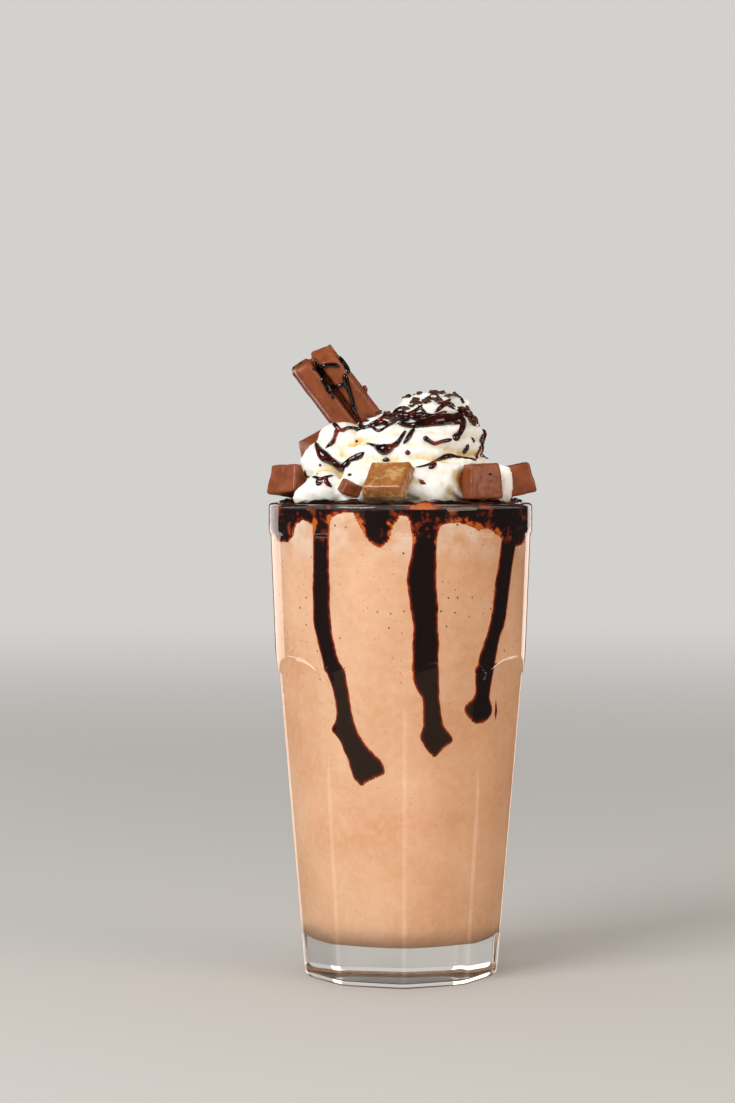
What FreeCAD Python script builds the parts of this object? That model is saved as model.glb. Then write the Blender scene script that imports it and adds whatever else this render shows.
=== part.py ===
"""A tall chocolate milkshake in its panelled glass, topped with whipped cream, chocolate and sauce.

Millimetres. +Z is up, the origin is on the glass's own axis at the face it stands on, and -Y is the
front. The chocolate chunks stand on the sauce at the rim, half sunk in the foot of the cream, and
the two-finger wafer bar leans to the left out of it.
"""

import os
from math import atan2, cos, degrees, floor, pi, radians, sin, sqrt

import FreeCAD
import Part

# ---- glass ----
GLASS_HEIGHT = 158.0
RIM_RADIUS = 44.0
RIM_WALL = 2.5
BAND_HEIGHT = 11.0  # the plain band under the rim
BAND_STEP = 0.6  # how far the band stands proud of the body
BAND_EASE = 2.0  # height over which the band runs into the body
SHOULDER_BELOW_RIM = 49.0  # where the body starts to narrow faster
SHOULDER_INSET = 2.1  # shoulder radius, in from the rim's
FOOT_RADIUS = 32.8
FOOT_WALL = 4.8
HEEL_RADIUS = 2.5
BASE_THICKNESS = 13.0
FLOOR_CORNER = 8.0  # radius between the floor and the wall inside
PANELS = 9
RIDGE_WIDTH = 1.6  # round strip left between two panels
RIDGE_TURN = 2.0  # degrees from the front to the ridge nearest it, to the right
SCOOP_RADIUS = 8.0  # run-out at the top of a panel
SCOOP_BELOW_RIM = 59.0  # where that run-out starts

# ---- contents ----
SYRUP_DEPTH = 8.0  # sauce against the wall, down from the rim
SYRUP_PROUD = 1.6  # how far it domes above the rim
SYRUP_SHOULDER = 2.4  # radius of the dome's edge
CREAM_MARGIN = 7.0  # sauce left bare between the cream and the wall
CREAM_HEIGHT = 35.5
CREAM_LEAN_X = 8.0  # how far the peak stands off the axis
CREAM_LEAN_Y = 2.0
CREAM_TURNS = 2.6  # turns of the piped coil
CREAM_GROOVE = 3.2  # depth of the groove between two turns
CREAM_RIDGES = 11  # ridges left by the piping nozzle
CREAM_RIDGE_DEPTH = 0.9
CREAM_TWIST = 1.35  # turns that the ridges wind round the mound
CREAM_LEFT_BULGE = 1.0  # extra cream at the foot of the bar
CREAM_TIP_RADIUS = 1.6
CREAM_RINGS = 34
CREAM_SPOKES = 72

# ---- wafer bar ----
BAR_LENGTH = 55.6
FINGER_WIDTH = 7.1
FINGER_TOP_WIDTH = 5.8
FINGER_HEIGHT = 8.0
FINGER_ROUNDING = 1.5
FINGER_GAP = 0.9
WEB_THICKNESS = 2.2
FLANGE = 0.5  # lip of the web past each finger
FINGER_OVERRUN = 0.6  # how far the right finger passes the left one
LEFT_END = (0.6, 5.0)  # fall of a finger's end to the right, and its draft in degrees
RIGHT_END = (2.4, 26.0)
BAR_LEAN_LEFT = 36.5
BAR_LEAN_FRONT = 14.0
BAR_TURN = 10.0
BAR_FOOT_X = 2.4
BAR_FOOT_Y = 0.0

# ---- chocolate chunks: size, place (angle round the rim, inset of the centre from it, lift) ----
# ---- and turns in degrees (about the upright, then pitched and rolled); two stand by a neighbour: ----
# ---- the small one a set way along the rim from the front one, the high one beside the bar ----
CHUNK_DRAFT = 0.86  # top face over bottom face, from the mould
CHUNK_ROUNDING = 0.8
CHUNK_SINK = 0.4  # how far a chunk's lowest corner sits in the sauce
FRONT_ANGLE = 263
SMALL_INSET = 8.0
SMALL_STEP = 12.9  # along its circle, from below the front chunk
HIGH_REACH = 28.0  # from the axis, clear of the bar
INNER_RIM = RIM_RADIUS - RIM_WALL
SMALL_ANGLE = FRONT_ANGLE - degrees(SMALL_STEP / (INNER_RIM - SMALL_INSET))
HIGH_INSET = INNER_RIM - HIGH_REACH
CHUNKS = {
    "chunk_left": dict(size=(13.0, 13.0, 9.6), angle=190, inset=5.6, lift=0.0, turns=(48, -5, 8)),
    "chunk_front": dict(size=(15.4, 13.6, 5.2), angle=FRONT_ANGLE, inset=8.4, lift=0.0, turns=(-22, 44, 0)),
    "chunk_right": dict(size=(12.6, 12.6, 11.6), angle=320, inset=8.6, lift=0.0, turns=(30, 0, -2)),
    "chunk_far_right": dict(size=(12.4, 6.6, 10.0), angle=350, inset=2.8, lift=0.0, turns=(6, 4, -12)),
    "chunk_small": dict(
        size=(7.0, 5.6, 4.6), angle=SMALL_ANGLE, inset=SMALL_INSET, lift=0.0, turns=(24, 14, 18)
    ),
    "chunk_high": dict(size=(12.5, 12.5, 9.0), angle=162, inset=HIGH_INSET, lift=10.0, turns=(24, 4, -24)),
    "chunk_back_left": dict(size=(13.0, 12.5, 9.0), angle=128, inset=8.0, lift=0.0, turns=(-30, -28, 6)),
    "chunk_back_right": dict(size=(13.5, 12.5, 8.5), angle=58, inset=7.6, lift=0.0, turns=(24, -34, -4)),
}

BAND_FOOT = GLASS_HEIGHT - BAND_HEIGHT
SHOULDER_Z = GLASS_HEIGHT - SHOULDER_BELOW_RIM
SHOULDER_RADIUS = RIM_RADIUS - SHOULDER_INSET
LIP_Z = GLASS_HEIGHT - RIM_WALL / 2  # where the wall ends and its rounded lip starts
INNER_FLOOR = FOOT_RADIUS - FOOT_WALL
SYRUP_FLOOR = GLASS_HEIGHT - SYRUP_DEPTH
SYRUP_TOP = GLASS_HEIGHT + SYRUP_PROUD

AXIS = FreeCAD.Vector(0, 0, 1)
ORIGIN = FreeCAD.Vector(0, 0, 0)


def point(radius, height):
    return FreeCAD.Vector(radius, 0, height)


def line(a, b):
    return Part.LineSegment(a, b).toShape()


def arc(a, middle, b):
    return Part.Arc(a, middle, b).toShape()


def spline(points):
    curve = Part.BSplineCurve()
    curve.interpolate(points)
    return curve.toShape()


def corner(a, at, b, radius):
    """The arc that rounds the corner of the lines a-at-b, and its two ends."""
    to_a = (a - at).normalize()
    to_b = (b - at).normalize()
    half = to_a.getAngle(to_b) / 2
    back = radius * cos(half) / sin(half)
    middle = at + (to_a + to_b).normalize() * (radius / sin(half) - radius)
    start, end = at + to_a * back, at + to_b * back
    return arc(start, middle, end), start, end


def turned(edges):
    """The solid that a closed outline in the XZ plane sweeps round the axis."""
    face = Part.Face(Part.Wire(Part.__sortEdges__(edges)))
    return face.revolve(ORIGIN, AXIS, 360)


def inner_radius(height):
    """The wall inside the glass is one straight taper, as the plunger leaves it."""
    share = (height - BASE_THICKNESS) / (LIP_Z - BASE_THICKNESS)
    return INNER_FLOOR + share * (INNER_RIM - INNER_FLOOR)


def outer_radius(height):
    """The body's radius under the band, before the panels are cut."""
    if height > SHOULDER_Z:
        share = (height - SHOULDER_Z) / (BAND_FOOT - SHOULDER_Z)
        return SHOULDER_RADIUS + share * (RIM_RADIUS - BAND_STEP - SHOULDER_RADIUS)
    return FOOT_RADIUS + height / SHOULDER_Z * (SHOULDER_RADIUS - FOOT_RADIUS)


def cavity_edges(top):
    """The floor, its rounded corner and the wall inside, up to a height."""
    centre, foot = point(0, BASE_THICKNESS), point(INNER_FLOOR, BASE_THICKNESS)
    high = point(inner_radius(top), top)
    rounding, start, end = corner(centre, foot, high, FLOOR_CORNER)
    return [line(centre, start), rounding, line(end, high)], centre, high


def panel_distance(height):
    """How far from the axis a panel's flat lies, so that the stated strip is left beside it."""
    radius = outer_radius(height)
    half_width = radius * sin(pi / PANELS) - RIDGE_WIDTH / 2
    return sqrt(radius**2 - half_width**2)


def panel_cutter():
    """What one panel takes off the body: a flat with a scooped run-out at its top."""
    beyond = RIM_RADIUS + SCOOP_RADIUS
    below = -1.0
    scoop_z = GLASS_HEIGHT - SCOOP_BELOW_RIM
    top, foot = panel_distance(scoop_z), panel_distance(0)
    slope = (top - foot) / scoop_z
    lean = sqrt(1 + slope**2)
    low = point(foot + slope * below, below)
    high = point(top, scoop_z)
    centre = high + FreeCAD.Vector(1, 0, -slope) * (SCOOP_RADIUS / lean)
    quarter = FreeCAD.Vector(slope, 0, 1) * (SCOOP_RADIUS / lean)
    inward = FreeCAD.Vector(-1, 0, slope) * (SCOOP_RADIUS / lean)
    end = centre + quarter
    middle = centre + (quarter + inward) * (1 / sqrt(2))
    out_high, out_low = point(beyond, end.z), point(beyond, below)
    edges = [line(low, high), arc(high, middle, end), line(end, out_high)]
    edges += [line(out_high, out_low), line(out_low, low)]
    width = 2 * RIM_RADIUS
    face = Part.Face(Part.Wire(edges))
    return face.extrude(FreeCAD.Vector(0, width, 0)).translated(FreeCAD.Vector(0, -width / 2, 0))


def glass():
    inside, floor_centre, lip_in = cavity_edges(LIP_Z)
    lip_out = point(RIM_RADIUS, LIP_Z)
    lip = arc(lip_in, point(RIM_RADIUS - RIM_WALL / 2, GLASS_HEIGHT), lip_out)
    band_foot = point(RIM_RADIUS, BAND_FOOT + BAND_EASE)
    body_top = point(RIM_RADIUS - BAND_STEP, BAND_FOOT)
    ease = spline([band_foot, point(RIM_RADIUS - 0.3 * BAND_STEP, BAND_FOOT + 0.45 * BAND_EASE), body_top])
    shoulder, foot = point(SHOULDER_RADIUS, SHOULDER_Z), point(FOOT_RADIUS, 0)
    stand = point(0, 0)
    blend, blend_top, blend_foot = corner(body_top, shoulder, foot, 4 * SHOULDER_BELOW_RIM)
    heel, heel_top, heel_foot = corner(shoulder, foot, stand, HEEL_RADIUS)
    edges = inside + [lip, line(lip_out, band_foot), ease, line(body_top, blend_top), blend]
    edges += [line(blend_foot, heel_top), heel, line(heel_foot, stand), line(stand, floor_centre)]
    body = turned(edges)
    cutter = panel_cutter()
    half_step = 180.0 / PANELS
    for k in range(PANELS):
        turn = RIDGE_TURN - 90 + half_step * (2 * k + 1)
        body = body.cut(cutter.rotated(ORIGIN, AXIS, turn))
    return body


def milkshake():
    edges, floor_centre, high = cavity_edges(SYRUP_FLOOR)
    level = point(0, SYRUP_FLOOR)
    return turned(edges + [line(high, level), line(level, floor_centre)])


def syrup():
    """The sauce that closes the glass, domed a little above the rim."""
    low = point(inner_radius(SYRUP_FLOOR), SYRUP_FLOOR)
    edge = point(INNER_RIM, LIP_Z)
    domed = point(edge.x - SYRUP_SHOULDER, SYRUP_TOP)
    middle = point(edge.x - 0.32 * SYRUP_SHOULDER, LIP_Z + 0.68 * (SYRUP_TOP - LIP_Z))
    edges = [line(point(0, SYRUP_FLOOR), low), line(low, edge), arc(edge, middle, domed)]
    edges += [line(domed, point(0, SYRUP_TOP)), line(point(0, SYRUP_TOP), point(0, SYRUP_FLOOR))]
    return turned(edges)


def finger(shift, length, end):
    """One moulded finger lying along +Z, its ridge towards -Y; its end falls to the right and to the ridge."""
    fall, draft = end
    half, top_half = FINGER_WIDTH / 2, FINGER_TOP_WIDTH / 2
    outline = [(-half, 0), (half, 0), (top_half, -FINGER_HEIGHT), (-top_half, -FINGER_HEIGHT), (-half, 0)]
    face = Part.Face(Part.makePolygon([FreeCAD.Vector(x + shift, y, 0) for x, y in outline]))
    body = face.extrude(FreeCAD.Vector(0, 0, length))
    reach = 2 * (FINGER_WIDTH + FINGER_HEIGHT)
    past = Part.makeBox(2 * reach, 2 * reach, reach, FreeCAD.Vector(-reach, -reach, 0))
    past.rotate(ORIGIN, FreeCAD.Vector(1, 0, 0), draft)
    past.rotate(ORIGIN, FreeCAD.Vector(0, 1, 0), degrees(atan2(fall, FINGER_WIDTH)))
    past.translate(FreeCAD.Vector(shift - half, 0, length))
    body = body.cut(past)
    ridge = [e for e in body.Edges if e.BoundBox.YMin < -WEB_THICKNESS]
    return body.makeFillet(FINGER_ROUNDING, ridge)


def wafer_bar():
    """Two fingers on one web, stood on the sauce and leant out of the cream."""
    pitch = FINGER_WIDTH + FINGER_GAP
    left = finger(-pitch / 2, BAR_LENGTH - FINGER_OVERRUN, LEFT_END)
    right = finger(pitch / 2, BAR_LENGTH, RIGHT_END)
    web_width = pitch + FINGER_WIDTH + 2 * FLANGE
    web_length = BAR_LENGTH - max(LEFT_END[0] + FINGER_OVERRUN, RIGHT_END[0])
    web_corner = FreeCAD.Vector(-web_width / 2, -WEB_THICKNESS, 0)
    web = Part.makeBox(web_width, WEB_THICKNESS, web_length, web_corner)
    web = web.makeFillet(0.4 * FLANGE, [e for e in web.Edges if e.BoundBox.ZLength > web_length / 2])
    bar = web.fuse(left).fuse(right).removeSplitter()
    bar.translate(FreeCAD.Vector(0, FINGER_HEIGHT / 2, 0))
    bar.rotate(ORIGIN, AXIS, BAR_TURN)
    bar.rotate(ORIGIN, FreeCAD.Vector(0, 1, 0), -BAR_LEAN_LEFT)
    bar.rotate(ORIGIN, FreeCAD.Vector(1, 0, 0), BAR_LEAN_FRONT)
    return seated(bar, BAR_FOOT_X, BAR_FOOT_Y)


def seated(solid, x, y):
    """A piece moved to a place on the sauce, its lowest corner a little way in."""
    bottom = solid.BoundBox.ZMin
    solid.translate(FreeCAD.Vector(x, y, SYRUP_TOP - CHUNK_SINK - bottom))
    return solid


def chunk(size, angle, inset, lift, turns):
    """A moulded chocolate square, tapered and rounded, tumbled and seated on the sauce or in the cream."""
    width, depth, height = size
    yaw, pitch, roll = turns
    low = Part.makePolygon([FreeCAD.Vector(x * width / 2, y * depth / 2, 0)
                            for x, y in ((-1, -1), (1, -1), (1, 1), (-1, 1), (-1, -1))])
    high = low.copy()
    high.scale(CHUNK_DRAFT)
    high.translate(FreeCAD.Vector(0, 0, height))
    block = Part.makeLoft([low, high], True, True)
    block = block.makeFillet(CHUNK_ROUNDING, block.Edges)
    block.translate(FreeCAD.Vector(0, 0, -height / 2))
    block.rotate(ORIGIN, FreeCAD.Vector(1, 0, 0), pitch)
    block.rotate(ORIGIN, FreeCAD.Vector(0, 1, 0), roll)
    block.rotate(ORIGIN, AXIS, yaw)
    reach = INNER_RIM - inset
    seated(block, reach * cos(radians(angle)), reach * sin(radians(angle)))
    return block.translated(FreeCAD.Vector(0, 0, lift))


def swirl_point(spoke, ring):
    """A point of the piped mound: a dome with a leaning peak, wound with a groove and nozzle ridges."""
    around = 2 * pi * spoke / CREAM_SPOKES
    rise = ring / (CREAM_RINGS - 1)
    turn = CREAM_TURNS * rise + spoke / CREAM_SPOKES
    off_crest = 2 * abs(turn - floor(turn + 0.5))
    groove = CREAM_GROOVE * (1 - sqrt(max(0.0, 1 - off_crest**2.4)))
    nozzle = CREAM_RIDGE_DEPTH * (1 - abs(sin(CREAM_RIDGES / 2 * (around + 2 * pi * CREAM_TWIST * rise))))
    fade = min(1.0, 5 * (1 - rise))
    foot_radius = INNER_RIM - CREAM_MARGIN
    left = CREAM_LEFT_BULGE * max(0.0, -cos(around)) ** 3 * sin(pi * rise)
    radius = CREAM_TIP_RADIUS + (foot_radius - CREAM_TIP_RADIUS) * cos(rise * pi / 2) ** 0.82
    radius += left - fade * (groove + nozzle)
    lean = rise**1.5
    x = radius * cos(around) + CREAM_LEAN_X * lean
    y = radius * sin(around) + CREAM_LEAN_Y * lean
    return FreeCAD.Vector(x, y, SYRUP_TOP + CREAM_HEIGHT * sin(rise * pi / 2))


def whipped_cream(garnish):
    """The mound as one smooth skin between a flat foot and a small tip, cut round what stands in it."""
    poles = [[swirl_point(s, r) for s in range(CREAM_SPOKES)] for r in range(CREAM_RINGS)]
    degree = 3
    spans = CREAM_RINGS - degree
    up_knots, up_mults = list(range(spans + 1)), [degree + 1] + [1] * (spans - 1) + [degree + 1]
    round_knots, round_mults = list(range(CREAM_SPOKES + 1)), [1] * (CREAM_SPOKES + 1)
    surface = Part.BSplineSurface()
    surface.buildFromPolesMultsKnots(
        poles, up_mults, round_mults, up_knots, round_knots, False, True, degree, degree)
    skin = surface.toShape()
    ends = [edge for edge in skin.Edges if edge.BoundBox.ZLength < 0.01]
    caps = [Part.Face(Part.Wire([edge])) for edge in ends]
    shell = Part.makeShell([skin, *caps])
    shell.sewShape()
    mound = Part.Solid(shell)
    if mound.Volume < 0:
        mound.reverse()
    for piece in garnish:
        mound = mound.cut(piece)
    return max(mound.Solids, key=lambda solid: solid.Volume)


def main():
    chunks = {name: chunk(**settings) for name, settings in CHUNKS.items()}
    bar = wafer_bar()
    garnish = [*chunks.values(), bar]
    sauce = syrup()
    for piece in garnish:
        sauce = sauce.cut(piece)
    nodes = {"glass": glass(), "milkshake": milkshake(), "syrup": sauce, "wafer_bar": bar, **chunks}
    nodes["whipped_cream"] = whipped_cream(garnish)
    os.makedirs("parts", exist_ok=True)
    for name, solid in nodes.items():
        print(f"{name}: {solid.Volume / 1000:.2f} cm3, valid {solid.isValid()}, solids {len(solid.Solids)}")
        solid.exportStep(f"parts/{name}.step")


main()
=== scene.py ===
# %% [markdown]
# # A chocolate milkshake in its panelled glass
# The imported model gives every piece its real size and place. This lesson dresses it: pressed glass, the
# drink with its pores, chocolate sauce that runs down inside the wall, whipped cream, moulded chocolate
# and the thin things scattered on top. Everything is in metres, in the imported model's own frame.

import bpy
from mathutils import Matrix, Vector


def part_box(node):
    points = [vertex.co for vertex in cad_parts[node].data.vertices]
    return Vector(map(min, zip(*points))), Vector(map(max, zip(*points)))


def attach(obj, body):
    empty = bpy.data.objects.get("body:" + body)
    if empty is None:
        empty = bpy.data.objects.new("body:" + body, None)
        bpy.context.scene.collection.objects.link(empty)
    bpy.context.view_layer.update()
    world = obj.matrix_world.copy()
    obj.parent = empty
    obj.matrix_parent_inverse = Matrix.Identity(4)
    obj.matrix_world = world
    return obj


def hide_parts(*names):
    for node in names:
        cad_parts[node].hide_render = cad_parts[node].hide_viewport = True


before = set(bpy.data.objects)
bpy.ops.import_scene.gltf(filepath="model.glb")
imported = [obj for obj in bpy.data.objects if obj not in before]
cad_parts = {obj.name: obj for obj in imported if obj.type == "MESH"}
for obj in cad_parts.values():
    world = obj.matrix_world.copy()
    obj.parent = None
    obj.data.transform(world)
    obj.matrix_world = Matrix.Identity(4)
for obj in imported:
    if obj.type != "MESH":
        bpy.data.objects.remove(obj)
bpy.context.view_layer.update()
print("packed nodes:", sorted(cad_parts))

# %% Tools used all the way through
import random
from math import asin, atan2, cos, degrees, exp, log, pi, radians, sin, sqrt

import bmesh
import bpy
import numpy as np
from mathutils import Vector, kdtree, noise
from mathutils.bvhtree import BVHTree

MM = 0.001
BODY = "root"


def mesh_of(work, name="scratch"):
    """A mesh made from a bmesh, which is freed."""
    mesh = bpy.data.meshes.new(name)
    work.to_mesh(mesh)
    work.free()
    return mesh


def finish_piece(work, name, material, replaces=()):
    """Turns a bmesh into a smooth-shaded object that rides on the glass."""
    return place_mesh(mesh_of(work, name), name, material, replaces)


def place_mesh(mesh, name, material, replaces=()):
    """Puts a finished mesh in the scene, with its finish, its body and the nodes it stands for."""
    mesh.name = name
    mesh.materials.clear()
    mesh.materials.append(material)
    mesh.polygons.foreach_set("use_smooth", [True] * len(mesh.polygons))
    piece = bpy.data.objects.new(name, mesh)
    bpy.context.collection.objects.link(piece)
    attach(piece, BODY)
    if replaces:
        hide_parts(*replaces)
    print(f"{name}: {len(mesh.polygons)} faces")
    return piece


def scratch_mesh(thing):
    """The mesh of an object as its modifiers or bevel leave it; the object itself is thrown away."""
    bpy.context.view_layer.update()
    graph = bpy.context.evaluated_depsgraph_get()
    mesh = bpy.data.meshes.new_from_object(thing.evaluated_get(graph))
    bpy.data.objects.remove(thing)
    return mesh


def link(data, name="scratch"):
    """An object for a mesh, a lamp or a camera, put in the scene."""
    thing = bpy.data.objects.new(name, data)
    bpy.context.collection.objects.link(thing)
    return thing


def clamp(value, low=0.0, high=1.0):
    return max(low, min(high, value))


def smoothstep(value):
    value = clamp(value)
    return value * value * (3 - 2 * value)


# %% [markdown]
# ## Sizes
# The glass, the drink and the sauce are turned shapes, so a few radii and heights say where everything
# lies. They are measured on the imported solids: a ray sent out from the axis finds the wall inside.

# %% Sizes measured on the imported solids
glass_low, glass_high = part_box("glass")
RIM_Z = glass_high[2]
RIM_R = glass_high[0]
FLOOR_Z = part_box("milkshake")[0][2]
SAUCE_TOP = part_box("syrup")[1][2]


def node_tree(name):
    """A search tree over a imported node's mesh."""
    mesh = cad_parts[name].data
    corners = [v.co for v in mesh.vertices]
    return BVHTree.FromPolygons(corners, [p.vertices for p in mesh.polygons])


glass_tree = node_tree("glass")


def wall_inside(z):
    """The glass's inner radius, found by a ray from the axis."""
    hit = glass_tree.ray_cast(Vector((0, 0, z)), Vector((1, 0.01, 0)).normalized())[0]
    return hit.xy.length


LOW_WALL, HIGH_WALL = [(z, wall_inside(z)) for z in (FLOOR_Z + 12 * MM, RIM_Z - 5 * MM)]
TAPER = (HIGH_WALL[1] - LOW_WALL[1]) / (HIGH_WALL[0] - LOW_WALL[0])


def inner_radius(z):
    """The inner wall is one cone."""
    return LOW_WALL[1] + TAPER * (z - LOW_WALL[0])


WALL = RIM_R - inner_radius(RIM_Z)
LIP_Z = RIM_Z - WALL / 2
EYE_AWAY, EYE_ABOVE_RIM = 1.0, 16 * MM
EYE = Vector((0, -EYE_AWAY, RIM_Z + EYE_ABOVE_RIM))  # where the camera stands
print(f"rim {RIM_R / MM:.1f} mm at {RIM_Z / MM:.1f}, wall {WALL / MM:.2f}, floor at {FLOOR_Z / MM:.1f}")
print(f"inside {inner_radius(RIM_Z) / MM:.2f} to {inner_radius(FLOOR_Z) / MM:.2f} mm")

# %% [markdown]
# ## Colours and nodes
# Colours are written as sRGB hex, the way a colour picker gives them, and turned to linear light once.
# One helper adds a shader node with its settings and links, so a material reads as a short recipe.

# %% Colour and node helpers
def colour(hex_code):
    """sRGB hex to linear RGBA."""
    parts = [int(hex_code[k:k + 2], 16) / 255 for k in (1, 3, 5)]
    return tuple(c / 12.92 if c <= 0.04045 else ((c + 0.055) / 1.055) ** 2.4 for c in parts) + (1.0,)


def add(tree, kind, inputs=None, **settings):
    """Adds one node. An input's value is a number, a colour, or another node's output socket."""
    made = tree.nodes.new("ShaderNode" + kind)
    for name, value in settings.items():
        setattr(made, name, value)
    for key, value in (inputs or {}).items():
        if isinstance(value, bpy.types.NodeSocket):
            tree.links.new(value, made.inputs[key])
        else:
            made.inputs[key].default_value = value
    return made


def new_material(name):
    """A material with an empty tree and its output node."""
    material = bpy.data.materials.new(name)
    material.use_nodes = True
    tree = material.node_tree
    tree.nodes.clear()
    return material, tree, tree.nodes.new("ShaderNodeOutputMaterial")


MIX_FACTOR, MIX_A, MIX_B, MIX_RESULT = 0, 6, 7, 2


def blend(tree, factor, a, b, kind="MIX"):
    """A colour mixed from two, as its output socket."""
    mixed = add(tree, "Mix", {MIX_FACTOR: factor, MIX_A: a, MIX_B: b}, data_type="RGBA", blend_type=kind)
    return mixed.outputs[MIX_RESULT]


def ramp(tree, value, low, high):
    """A value rescaled so that low gives 0 and high gives 1, held between them."""
    scaled = add(tree, "MapRange", {"Value": value, "From Min": low, "From Max": high})
    return scaled.outputs["Result"]


def times(tree, a, b):
    """Two values multiplied."""
    return add(tree, "Math", {0: a, 1: b}, operation="MULTIPLY").outputs[0]


def surface(tree, output, inputs):
    """A Principled surface, sent to the material's output."""
    tree.links.new(add(tree, "BsdfPrincipled", inputs).outputs[0], output.inputs["Surface"])


def pattern(tree, size_mm, detail=2.0, roughness=0.5):
    """Noise whose features are about size_mm across, on Object coordinates."""
    place = add(tree, "TexCoord")
    made = add(tree, "TexNoise", {"Vector": place.outputs["Object"], "Scale": 1000 / size_mm,
                                  "Detail": detail, "Roughness": roughness})
    return made.outputs["Fac"]


# %% [markdown]
# ## Pressed glass
# Soda-lime glass pressed in a mould: clear, very smooth, IOR about 1.52. Light that heads for a lamp is let
# straight through, because the bent paths from a lamp through a wall are too rare for the renderer to find.

# %% Pressed soda-lime glass
GLASS_IOR = 1.52


def make_glass():
    material, tree, output = new_material("pressed_soda_lime_glass")
    body = add(tree, "BsdfPrincipled", {"Base Color": colour("#fbfdfc"), "Roughness": 0.015, "IOR": GLASS_IOR,
                                        "Transmission Weight": 1.0})
    clear = add(tree, "BsdfTransparent", {"Color": colour("#f6f8f7")})
    to_lamp = add(tree, "LightPath").outputs["Is Shadow Ray"]
    mixed = add(tree, "MixShader", {0: to_lamp, 1: body.outputs[0], 2: clear.outputs[0]})
    tree.links.new(mixed.outputs[0], output.inputs["Surface"])
    return material


glass_finish = make_glass()

# %% [markdown]
# ## The milkshake
# Blended milk, ice cream and chocolate: opaque, pale and slightly mottled, with trapped bubbles against the
# wall. The bubbles are not modelled: small dark spots in the colour stand for them, painted shade in each
# pit. It touches the glass, so it has no shine of its own.

# %% A flat map of the wall, and round spots on it
def wall_map(tree):
    """Object coordinates unrolled: metres round the wall, and height."""
    place = add(tree, "TexCoord")
    split = add(tree, "SeparateXYZ", {0: place.outputs["Object"]})
    front = times(tree, split.outputs["Y"], -1.0)
    turn = add(tree, "Math", {0: split.outputs["X"], 1: front}, operation="ARCTAN2")
    along = times(tree, turn.outputs[0], inner_radius(RIM_Z))
    flat = add(tree, "CombineXYZ", {"X": along, "Y": split.outputs["Z"]})
    return flat.outputs[0], split.outputs["Z"]


def spots(tree, flat, cell_mm, radius_mm, share):
    """1 inside small round spots, 0 elsewhere: one spot a cell, in only a share of the cells."""
    cells = add(tree, "TexVoronoi", {"Vector": flat, "Scale": 1000 / cell_mm}, voronoi_dimensions="2D")
    draw = add(tree, "SeparateColor", {"Color": cells.outputs["Color"]})
    chosen = add(tree, "Math", {0: draw.outputs["Red"], 1: share}, operation="LESS_THAN")
    size = add(tree, "MapRange", {"Value": draw.outputs["Green"], "To Min": 0.5 * radius_mm / cell_mm,
                                  "To Max": 1.3 * radius_mm / cell_mm}).outputs["Result"]
    inside = ramp(tree, cells.outputs["Distance"], size, times(tree, size, 0.6))
    return times(tree, chosen.outputs[0], inside)


# %% Blended milkshake
FOAM_LOW, FOAM_FULL = RIM_Z - 22 * MM, RIM_Z - 9 * MM
PITS_LOW, PITS_FULL = 75 * MM, 115 * MM


def make_milkshake():
    material, tree, output = new_material("blended_milkshake")
    flat, height = wall_map(tree)
    patches = ramp(tree, pattern(tree, 26, detail=3), 0.35, 0.7)
    tone = blend(tree, patches, colour("#eec29f"), colour("#e2ad85"))
    mottle = ramp(tree, pattern(tree, 3.2, detail=4, roughness=0.6), 0.42, 0.68)
    tone = blend(tree, mottle, tone, blend(tree, 0.28, tone, colour("#f8dcc8")))
    foam = times(tree, ramp(tree, height, FOAM_LOW, FOAM_FULL),
                 ramp(tree, pattern(tree, 7, detail=3), 0.42, 0.62))
    tone = blend(tree, foam, tone, colour("#f4dac6"))
    clusters = ramp(tree, pattern(tree, 14, detail=2), 0.42, 0.54)
    airy = times(tree, ramp(tree, height, PITS_LOW, PITS_FULL), clusters)
    # Painted shade: small dark spots for the pits of bubbles at the wall, larger and darker where it is airy.
    tone = blend(tree, spots(tree, flat, 1.8, 0.16, 0.2), tone, colour("#a97a58"))
    coarse = times(tree, spots(tree, flat, 4.6, 0.34, 0.6), airy)
    tone = blend(tree, coarse, tone, colour("#5d3a27"))
    surface(tree, output, {"Base Color": tone, "Roughness": 0.6, "Specular IOR Level": 0.1,
                           "Subsurface Weight": 0.15, "Subsurface Scale": 0.001,
                           "Subsurface Radius": (1.0, 0.55, 0.3)})
    return material


milkshake_finish = make_milkshake()

# %% [markdown]
# ## Chocolate sauce
# Thick dark syrup. Where it is thin, at an edge, light comes through it orange and then deep red; a
# millimetre in, it is almost black. Each sauce mesh carries an attribute, depth, that says how far a point
# lies from the sauce's edge, in millimetres, and the colour follows that.

# %% Chocolate sauce, on the wall and in the open
SAUCE_DEPTH = "depth"


def sauce_colour(tree, depth):
    """From orange at the edge, over red, to nearly black."""
    wander = add(tree, "Math", {0: pattern(tree, 2.2, detail=3), 1: 0.5}, operation="SUBTRACT").outputs[0]
    shifted = add(tree, "Math", {0: wander, 1: 1.5, 2: depth}, operation="MULTIPLY_ADD").outputs[0]
    edge = blend(tree, ramp(tree, shifted, -0.1, 0.35), colour("#cf6a26"), colour("#8e2a10"))
    deep = blend(tree, ramp(tree, shifted, 0.3, 0.8), edge, colour("#3a0e08"))
    return blend(tree, ramp(tree, shifted, 0.7, 1.5), deep, colour("#140605"))


BAND_THINS, BAND_THIN = RIM_Z - 14 * MM, RIM_Z - 9 * MM  # the band is thin and frothy above these heights


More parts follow.
